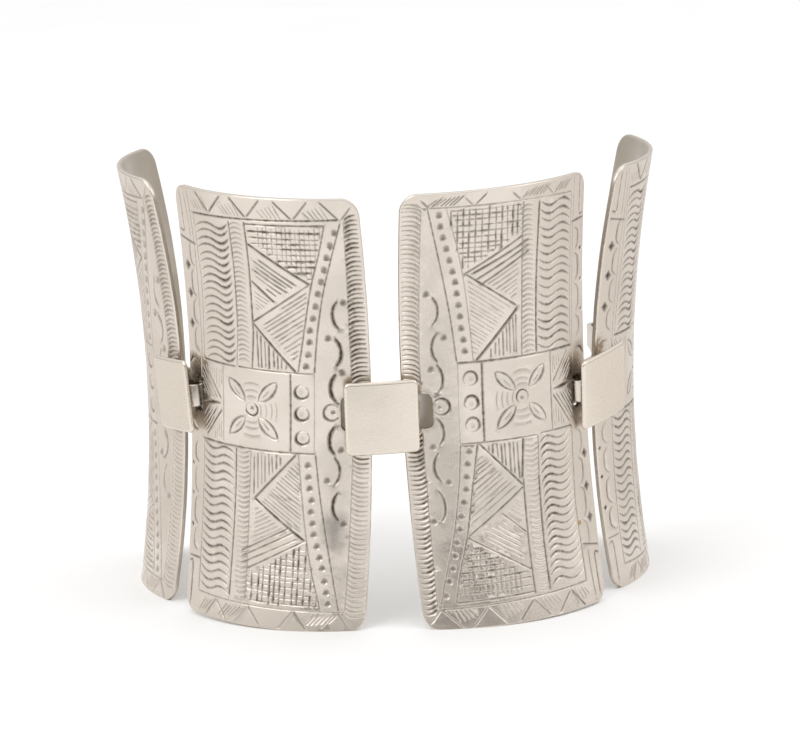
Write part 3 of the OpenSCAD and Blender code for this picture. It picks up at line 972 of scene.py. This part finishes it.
def engraved_nickel_silver(name):
    m, t = new_material(name)
    where = add(t, "ShaderNodeTexCoord").outputs["Object"]
    groove, grime_and_shade, inner = (add(t, "ShaderNodeAttribute", {"attribute_name": key}).outputs["Fac"]
                            for key in ("groove", "grime_and_shade", "inner"))
    calc = maths(t, use_clamp=True)

    # Clouds 9 mm across: handling leaves some parts duller and warmer than others
    cloud = noise(t, where, 9, 4.0)
    # Specks of 0.6 mm: tarnish clings unevenly in the grooves
    speck = noise(t, where, 0.6, 2.0)
    # Polishing scratches 0.15 mm apart, drawn out along the height of the panel
    drawn = add(t, "ShaderNodeMapping", None, where, Scale=(1.0, 1.0, 0.1))
    scratch = noise(t, drawn, 0.15, 2.0)
    # Small dents about 1 mm across from hammering and wear
    dent = noise(t, where, 1.2, 3.0)
    polished = blend_colours(t, cloud.outputs[0], "#E2D8CE", "#D3CABF")
    unpolished = blend_colours(t, cloud.outputs[0], "#C8C0B3", "#B2A99C")
    face = blend_colours(t, inner, polished, unpolished)
    # Grime and painted shade round the slots: real grime where cloth and polish never reach, and
    # the painted shadow of the link's plate and strap over the slot; broken up by the specks
    patchy = add(t, "ShaderNodeMapRange", None, speck, 0.35, 0.65, 0.35, 1.0)
    grime_and_shade_mask = calc("MULTIPLY", grime_and_shade, patchy)
    stains_and_painted_light = blend_colours(t, grime_and_shade_mask, face, "#7C7265")
    # One golden spot of old lacquer, about a millimetre across, on the front right panel
    away = add(t, "ShaderNodeVectorMath", {"operation": "DISTANCE"}, where,
               [v * MM for v in LACQUER_SPOT]).outputs["Value"]
    spot = fade(t, away, 0.25 * MM, 0.6 * MM, 0.8)
    stains_and_painted_light = blend_colours(t, spot.outputs[0], stains_and_painted_light, "#B08A35")
    # A painted grey reflection some 6 by 9 mm, with ragged edges, low on the front left panel:
    # the dark of the studio mirrored there is painted into the colour
    reflection_noise = noise(t, where, 2.5, 3.0)
    offset = add(t, "ShaderNodeVectorMath", {"operation": "SUBTRACT"}, where,
                 [v * MM for v in GREY_REFLECTION_SPOT])
    squashed = add(t, "ShaderNodeVectorMath", {"operation": "MULTIPLY"}, offset, (1.0, 1.0, 0.65))
    reach = add(t, "ShaderNodeVectorMath", {"operation": "LENGTH"}, squashed).outputs["Value"]
    ragged = calc("MULTIPLY_ADD", reflection_noise, 3 * MM, reach)
    grey_reflection = fade(t, ragged, 1.7 * MM, 4.7 * MM, 0.75)
    stains_and_painted_light = blend_colours(t, grey_reflection.outputs[0], stains_and_painted_light, "#8E8A84")
    # Tarnish in the grooves grows with their depth and hardly shines
    dark = calc("MULTIPLY", groove, maths(t)("MULTIPLY_ADD", speck, 5.5, 3.0))
    colour = blend_colours(t, dark, stains_and_painted_light, "#544A40")
    # Roughness follows the clouds, and grows with scratches, with tarnish and on the inside
    shine = add(t, "ShaderNodeMapRange", None, cloud.outputs[0], 0.35, 0.65, 0.14, 0.3)
    worn = calc("MULTIPLY_ADD", scratch, 0.1, shine)
    dull = calc("MULTIPLY_ADD", dark, 0.25, worn)
    rough = calc("MULTIPLY_ADD", inner, 0.12, dull)
    hammered = add(t, "ShaderNodeBump", None, Height=dent, Strength=0.3, Distance=0.00006)
    relief = add(t, "ShaderNodeBump", None, Height=scratch, Strength=0.12, Distance=0.00002,
                 Normal=hammered)
    surface(t, Base_Color=colour, Metallic=1.0, Roughness=rough, Normal=relief)
    return m


PANEL_METAL = engraved_nickel_silver("engraved_nickel_silver")
print("panel metal:", len(PANEL_METAL.node_tree.nodes), "nodes")

# %% [markdown]
# ## Satin plates
# The square plates are the same metal, but plain: rubbed with a fine abrasive in one
# direction until they have a satin face, so highlights spread softly over them. The hair lines
# run across the plate and hardly show. The strap is less even, and the back plate, which
# shows as light grey through the slots, is brushed more coarsely and painted paler than the
# plates: a painted light that stands in for the light reaching it through the slots.


# %% Satin metal
def satin_nickel_silver(name, pale, dull, roughness):
    m, t = new_material(name)
    where = add(t, "ShaderNodeTexCoord").outputs["Object"]
    cloud = noise(t, where, 5, 3.0)
    # Hair lines 0.08 mm apart and some 3 mm long, across the plate
    drawn = add(t, "ShaderNodeMapping", None, where, Scale=(0.03, 0.03, 1.0))
    hair = noise(t, drawn, 0.08, 2.0)
    colour = blend_colours(t, cloud.outputs[0], pale, dull)
    low, high = roughness
    rough = add(t, "ShaderNodeMapRange", None, hair, 0.3, 0.7, low, high)
    relief = add(t, "ShaderNodeBump", None, Height=hair, Strength=0.02, Distance=0.00001)
    surface(t, Base_Color=colour, Metallic=1.0, Roughness=rough, Normal=relief)
    return m


PLATE_METAL = satin_nickel_silver("satin_nickel_silver", "#E6DDD0", "#DED5C9", (0.26, 0.28))
STRAP_METAL = satin_nickel_silver("handled_nickel_silver", "#E2DACF", "#D2C9BE", (0.26, 0.3))
# The back plate's paler colour is painted light: it stands in for light reaching it through the
# slots
BACK_METAL_PAINTED_LIGHT = satin_nickel_silver("brushed_nickel_silver_painted_light", "#F4F1EC", "#E9E5DE", (0.42, 0.5))
print("plate, strap and back plate metals made")

# %% [markdown]
# ## Where the pieces stand
# The CAD source lays the four panels and three links out as a chain: each link spans from one
# panel's outer strip of metal to the next panel's. The same few lengths and headings are
# repeated here, so each piece is bent first and then carried to its place by one matrix.


# %% The chain of panels and links
def along(turn):
    """The way round the wrist at a heading."""
    return Vector((math.cos(math.radians(turn)), math.sin(math.radians(turn)), 0))


def outward(turn):
    """The way out of the wrist at a heading."""
    return Vector((math.sin(math.radians(turn)), -math.cos(math.radians(turn)), 0))


def turned(angle, axis):
    """A matrix that turns by so many degrees."""
    return Matrix.Rotation(math.radians(angle), 4, axis)


# Headings round the wrist in degrees, and spans in mm between the strips a link goes round
HEADING = {"left_side": -87, "left_link": -62, "front_left": -27, "centre_link": 6,
           "front_right": 25, "right_link": 52, "right_side": 85}
LEFT_SPAN, CENTRE_SPAN, RIGHT_SPAN = 5.3, 6.9, 4.4

mid_r = WRIST_R - SHEET / 2
strip_angle = HALF_ANGLE - STRIP / 2 / WRIST_R
strip_side, rise = mid_r * math.sin(strip_angle), WRIST_R - mid_r * math.cos(strip_angle)
ways = {body: along(turn) for body, turn in HEADING.items()}
centre = Vector((-0.94, -26.73, 0))
fl_comb = centre - ways["centre_link"] * CENTRE_SPAN / 2
fr_comb = centre + ways["centre_link"] * CENTRE_SPAN / 2
fl_at = fl_comb - ways["front_left"] * strip_side
fr_at = fr_comb + ways["front_right"] * strip_side
fl_plain = fl_at - ways["front_left"] * strip_side
fr_plain = fr_at + ways["front_right"] * strip_side
ls_comb = fl_plain - ways["left_link"] * LEFT_SPAN
rs_plain = fr_plain + ways["right_link"] * RIGHT_SPAN
ls_at = ls_comb - ways["left_side"] * strip_side
rs_at = rs_plain + ways["right_side"] * strip_side
print("front panels stand at", [round(v, 2) for v in (*fl_at[:2], *fr_at[:2])], "mm")


# %% A panel's own place
def lowest(out, lean):
    """How far a leaning panel reaches below its middle."""
    best = 0
    for i in range(71):
        x = -PANEL_W / 2 + i / 2
        past = max(0, abs(x) - (PANEL_W / 2 - CORNER_R))
        up = CORNER_R - math.sqrt(CORNER_R ** 2 - past ** 2)
        a, b = math.radians(out), math.radians(lean)
        best = max(best, (math.sqrt(flared_r ** 2 - x * x) - WRIST_R) * math.sin(a)
                   + (x * math.sin(b) + (PANEL_H / 2 - up) * math.cos(b)) * math.cos(a))
    return best


# A panel's place, then in degrees its lean outwards, lean sideways and turn upside down
PANELS = {"left_side": (ls_at, 0.7, 0, 0), "front_left": (fl_at, 1, 1.6, 0),
          "front_right": (fr_at, -1.2, -1.1, 180), "right_side": (rs_at, 1.5, 0, 0)}
# How deep the lowest corner is sunk before the foot is filed flat
FILED = 0.25


def panel_place(body):
    at, out, lean, upset = PANELS[body]
    turn = HEADING[body]
    up = Vector((0, 0, lowest(out, lean) - FILED))
    return (Matrix.Translation((at + outward(turn) * rise + up) * MM) @ turned(turn, "Z")
            @ turned(out, "X") @ turned(lean + upset, "Y"))


print("the panels reach", [round(lowest(*lean[1:3]), 2) for lean in PANELS.values()],
      "mm below their middles")

# %% [markdown]
# ## The four panels
# Each panel gets its own engraving from a new seed, because no two were cut alike. After
# bending it is moved to its place, and what would be below the floor is filed flat.


# %% Bend and place the panels
def finish_mesh(mesh, sharp=20):
    """Smooth shading, with edges kept sharp above an angle in degrees."""
    mesh.shade_smooth()
    mesh.set_sharp_from_angle(angle=math.radians(sharp))


def piece(name, mesh, body, *replaced):
    """A finished piece that rides a body and takes the place of CAD nodes."""
    made = put(name, mesh)
    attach(made, body)
    if replaced:
        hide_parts(*replaced)
    return made


def off_by(made, node):
    """The largest difference between a piece's box and its CAD node's, in mm."""
    co = np.empty(len(made.data.vertices) * 3)
    made.data.vertices.foreach_get("co", co)
    co = co.reshape(-1, 3)
    low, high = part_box(node)
    return max(np.abs(co.min(0) - low).max(), np.abs(co.max(0) - high).max()) / MM


# Where the rows' heights moved to: on the front right panel they are cut less evenly
MOVED = ((-40, -36.6, -33.3, -27.6, -21.9, -15.3, -6.65, 7.15, 15.5, 22.6, 29.2, 33.3, 40),
         (-40.3, -36.9, -34.5, -28.8, -23.2, -16.5, -7.6, 6.15, 14.6, 22.1, 28.8, 33.4, 40))
# For each panel's body, how much tarnish its grooves hold and its rows' heights
CUT = {"left_side": (0.55, AS_DRAWN), "front_left": (1.0, AS_DRAWN),
       "front_right": (0.95, MOVED), "right_side": (0.95, AS_DRAWN)}

for number, (body, (tarnish, drift)) in enumerate(CUT.items()):
    name = "panel_" + body
    flat = flat_sheet(name + "_flat", 2 * HALF_FLAT, PANEL_H, CORNER_R, SHEET, SLOTS,
                      engrave(number + 1, drift), rim=0.25, tarnish=tarnish)
    mesh = through_nodes(flat, BENDING, **{
        "Bend radius": WRIST_R * MM, "Flare radius": FLARE_R * MM, "Edge radius": EDGE_R * MM,
        "Half angle": HALF_ANGLE, "Unevenness": 0.12 * MM, "Patch size": 6 * MM,
        "Seed": float(number), "Metal": PANEL_METAL})
    mesh.transform(panel_place(body))
    for v in mesh.vertices:
        v.co.z = max(v.co.z, 0)
    finish_mesh(mesh)
    made = piece("engraved_" + name, mesh, body, name)
    print(f"{name}: {len(mesh.polygons)} triangles, box off by {off_by(made, name):.2f} mm")

# %% [markdown]
# ## Links
# A link is a strap bent into a long loop, with a square plate soldered on its outside and a
# small back plate on its inside. The strap follows a path, so a Geometry Nodes tree sweeps its
# rounded section along it. The plates are sheets like the panels, and bowed by the same tree.


# %% Geometry Nodes tree that bends a strap
def strap_tree():
    tree, inp = new_tree("Strap bent into a loop", (
        "Loop length", "Clear gap", "Strap thickness", "Strap height", "Rim radius"),
        takes_mesh=False)
    calc = maths(tree)
    width = calc("ADD", inp["Clear gap"], inp["Strap thickness"])
    box = add(tree, "GeometryNodeCurvePrimitiveQuadrilateral", None,
              calc("SUBTRACT", inp["Loop length"], inp["Strap thickness"]), width)
    path = add(tree, "GeometryNodeFilletCurve", {"mode": "POLY"}, box, Count=24,
               Radius=calc("MULTIPLY", width, 0.4999))
    section = add(tree, "GeometryNodeCurvePrimitiveQuadrilateral", None,
                  inp["Strap thickness"], inp["Strap height"])
    rounded = add(tree, "GeometryNodeFilletCurve", {"mode": "POLY"}, section, Count=4,
                  Radius=inp["Rim radius"])
    steady = add(tree, "GeometryNodeSetCurveNormal", {"mode": "Z_UP"}, path)
    swept = add(tree, "GeometryNodeCurveToMesh", None, steady, Profile_Curve=rounded)
    end_tree(tree, swept, inp["Metal"])
    return tree


STRAP_T, STRAP_H = 0.8, 3.8
loop = through_nodes(bpy.data.meshes.new("start"), strap_tree(), **{
    "Loop length": 11.2 * MM, "Clear gap": 3 * MM, "Strap thickness": STRAP_T * MM,
    "Strap height": STRAP_H * MM, "Rim radius": 0.18 * MM, "Metal": STRAP_METAL})
co = np.array([v.co for v in loop.vertices])
print("strap loop:", len(loop.polygons), "faces, size", (np.ptp(co, axis=0) / MM).round(2))

# %% Sizes and places of the links
# A link's place and its height over the panels' middle, how it hangs (tipped out, tipped
# sideways, skew of its plate, moved right, moved out), and how far its plate sits off centre
LINKS = {"left": ((ls_comb + fl_plain) / 2, 0.5, (2, 4, 1.5, -0.1, 0.4), 0.2),
         "centre": (centre, -0.6, (1, 0, 0.3, -0.05, 0.3), -1.1),
         "right": ((fr_plain + rs_plain) / 2, -0.1, (6, 3, 4.5, 0.15, 0.4), 0.3)}
# The front plate's width, thickness, bow radius, rim radius and distance outwards
PLATE_W, PLATE_T, PLATE_BOW, PLATE_RIM, PLATE_OUT = 12.6, 0.9, 65, 0.43, 3.1
# The back plate's length, height, rim radius and distance inwards, and both plates' corners
BACK_L, BACK_H, BACK_RIM, BACK_IN = 16.4, 7.3, 0.2, 1.5
PLATE_CORNER = 0.9


def moved(x, y, z=0):
    """A matrix that moves by so many mm."""
    return Matrix.Translation(Vector((x, y, z)) * MM)


def link_place(side):
    """Where the strap, the front plate and the back plate of a link go."""
    at, up, (out, tip, askew, right, off), shift = LINKS[side]
    place = (moved(at.x, at.y, PANEL_H / 2 + up) @ turned(HEADING[side + "_link"], "Z")
             @ turned(out, "X") @ turned(-tip, "Y") @ moved(right, -off))
    front = place @ moved(shift, 0) @ turned(-askew, "Y") @ moved(0, -PLATE_OUT)
    back = place @ moved(0, BACK_IN)
    return place, front, back


print("links hang", [round(v[1], 2) for v in LINKS.values()], "mm over the panels' middles")


# %% Plates and whole links
def bowed(name, width, height, thickness, bow, rim, metal, seed):
    """A plain sheet bowed about a vertical axis; width is measured straight across."""
    half = math.asin(width / 2 / bow)
    flat = flat_sheet(name, 2 * half * bow, height, PLATE_CORNER, thickness, rim=rim, step=0.5,
                      spacing=0.7, back_spacing=0.9)
    return through_nodes(flat, BENDING, **{
        "Bend radius": bow * MM, "Flare radius": 1000.0, "Edge radius": 1000.0,
        "Half angle": half, "Unevenness": 0.05 * MM, "Patch size": 5 * MM, "Seed": seed,
        "Metal": metal})


def joined(name, parts):
    """One mesh from several meshes, each already in its place."""
    objects = [put(name, mesh) for mesh in parts]
    with bpy.context.temp_override(active_object=objects[0], object=objects[0],
                                   selected_objects=objects,
                                   selected_editable_objects=objects):
        bpy.ops.object.join()
    mesh = objects[0].data
    bpy.data.objects.remove(objects[0])
    return mesh


for number, side in enumerate(LINKS):
    name, body = "link_" + side, side + "_link"
    place, front, back = link_place(side)
    plate = bowed(name + "_plate", PLATE_W, PLATE_W, PLATE_T, PLATE_BOW, PLATE_RIM,
                  PLATE_METAL, 10.0 + number)
    rear = bowed(name + "_back", BACK_L, BACK_H, STRAP_T, WRIST_R, BACK_RIM, BACK_METAL_PAINTED_LIGHT,
                 20.0 + number)
    strap = loop.copy()
    plate.transform(front)
    rear.transform(back)
    strap.transform(place)
    mesh = joined(name, [plate, rear, strap])
    finish_mesh(mesh, 32)
    made = piece("satin_" + name, mesh, body, name)
    print(f"{name}: {len(mesh.polygons)} faces, box off by {off_by(made, name):.2f} mm")

# %% [markdown]
# ## Clasp
# The clasp is hidden behind the right side panel. Its CAD solid already has the right
# shape, a plain strap bent into an eye and a hook, so it only gets its metal.

# %% Clasp metal
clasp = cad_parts["clasp"]
clasp.data.materials.clear()
clasp.data.materials.append(STRAP_METAL)
print("clasp keeps its CAD mesh:", len(clasp.data.polygons), "triangles")

# %% [markdown]
# ## Floor, light and camera
# The photograph was taken on a white sheet in soft studio light, so the floor is a plain pale
# plane and the sky a soft white that darkens to grey at the horizon. Polished metal shows what is
# round it: the grey gives the panels their darker side, and three soft lamps give the
# highlights. Four flat cards that only reflections see stand in for the dark and grey things
# of the studio. The camera stands about 0.7 m away and looks down by 13 degrees.


# %% Floor
def new_floor():
    """White paper under the bracelet, 6 m wide."""
    size = 3.0
    mesh = bpy.data.meshes.new("floor")
    mesh.from_pydata([(-size, -size, 0), (size, -size, 0), (size, size, 0), (-size, size, 0)],
                     [], [(0, 1, 2, 3)])
    floor = put("floor", mesh)
    m, t = new_material("white_paper_sweep")
    where = add(t, "ShaderNodeTexCoord").outputs["Object"]
    cloud = noise(t, where, 40, 2.0)
    colour = blend_colours(t, cloud.outputs[0], "#F6F6F6", "#FAFAFA")
    surface(t, Base_Color=colour, Roughness=0.9)
    mesh.materials.append(m)
    floor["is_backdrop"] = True


def grey_card(name, corners, colour):
    """A card on the floor outside the picture that only reflections see."""
    mesh = bpy.data.meshes.new(name)
    mesh.from_pydata([(x, y, 0.001) for x, y in corners], [], [range(len(corners))])
    card = put(name, mesh)
    m, t = new_material(name)
    surface(t, Base_Color=tint(colour), Roughness=0.8)
    mesh.materials.append(m)
    card.visible_camera = card.visible_diffuse = card.visible_shadow = False
    card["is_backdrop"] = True


new_floor()
grey_card("card_front", [(-0.12, -0.8), (0.12, -0.8), (0.07, -0.24), (-0.06, -0.24)], "#3A3836")
grey_card("card_left", [(-0.9, -0.4), (-0.2, -0.2), (-0.2, 0.3), (-0.9, 0.5)], "#E6E4E2")
grey_card("card_right", [(0.2, -0.2), (0.9, -0.4), (0.9, 0.5), (0.2, 0.3)], "#DEDCD9")
grey_card("card_back", [(-0.19, 0.0), (-0.09, 0.0), (-0.06, 0.07), (0.06, 0.07), (0.09, 0.0),
                        (0.19, 0.0), (0.19, 0.5), (-0.19, 0.5)], "#E1DEDB")
print("floor laid at z 0, with four cards round it")

# %% Sky and lamps
world = bpy.data.worlds.new("studio")
bpy.context.scene.world = world
world.use_nodes = True
world.node_tree.nodes.clear()
sky = world.node_tree
way = add(sky, "ShaderNodeSeparateXYZ", None,
          add(sky, "ShaderNodeTexCoord").outputs["Generated"]).outputs
# Grey towards the horizon, and darker where that is in front of the bracelet
low_down = fade(sky, way["Z"], 0.0, 0.45, 1.0)
in_front = fade(sky, way["Y"], -1.0, -0.55, 1.0)
room = maths(sky)("MULTIPLY", low_down, in_front)
wall = blend_colours(sky, low_down, "#FFFFFF", "#CBC8C5")
tone = blend_colours(sky, room, wall, "#6C6966")
add(sky, "ShaderNodeOutputWorld", None,
    add(sky, "ShaderNodeBackground", None, tone, Strength=1.0))


def lamp(name, place, aim, size, power):
    """A soft lamp of a size in metres and a power in watts, aimed at a point."""
    light = bpy.data.lights.new(name, "AREA")
    light.shape = "RECTANGLE"
    light.size, light.size_y = size
    light.energy = power
    o = put(name, light)
    o.location = place
    o.rotation_euler = (Vector(aim) - Vector(place)).to_track_quat("-Z", "Y").to_euler()


lamp("softbox_left", (-0.55, -0.5, 0.6), (0, 0, 0.04), (0.6, 0.6), 1.7)
lamp("softbox_right", (0.7, -0.25, 0.5), (0, 0, 0.04), (0.4, 0.6), 0.65)
lamp("overhead", (0, 0.05, 0.9), (0, 0, 0), (0.9, 0.9), 1.2)
print("sky and three lamps")

# %% Camera
# The focal length and the photo's width in pixels, and the sensor's width in mm
FOCAL_PX, PHOTO_W, SENSOR = 4113.6, 800, 36
# Where the camera looks, in mm; how far down and how tilted, in degrees; how far away, in m
TARGET = (1.46, -27.23, 44)
LOOK_DOWN, ROLL, AWAY = 12.79, -1.88, 0.69

camera_data = bpy.data.cameras.new("camera")
camera_data.sensor_width = SENSOR
camera_data.lens = FOCAL_PX / PHOTO_W * SENSOR
camera_data.clip_start, camera_data.clip_end = 0.05, 20
camera = put("camera", camera_data)
elevation = math.radians(LOOK_DOWN)
back = Vector((0, -math.cos(elevation), math.sin(elevation)))
camera.location = Vector(TARGET) * MM + back * AWAY
camera.rotation_mode = "QUATERNION"
camera.rotation_quaternion = ((-back).to_track_quat("-Z", "Y")
                              @ Matrix.Rotation(math.radians(ROLL), 3, "Z").to_quaternion())
bpy.context.scene.camera = camera
bpy.context.scene.view_settings.view_transform = "Standard"
print("camera at", [round(v, 3) for v in camera.location], "lens", round(camera_data.lens, 1))

# %% Sizes kept for comparison
low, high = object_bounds()
spare = [round((a - b) / MM, 3) for a, b in zip((*low, *cad_high), (*cad_low, *high))]
print("visual box inside the CAD box by", spare, "mm")
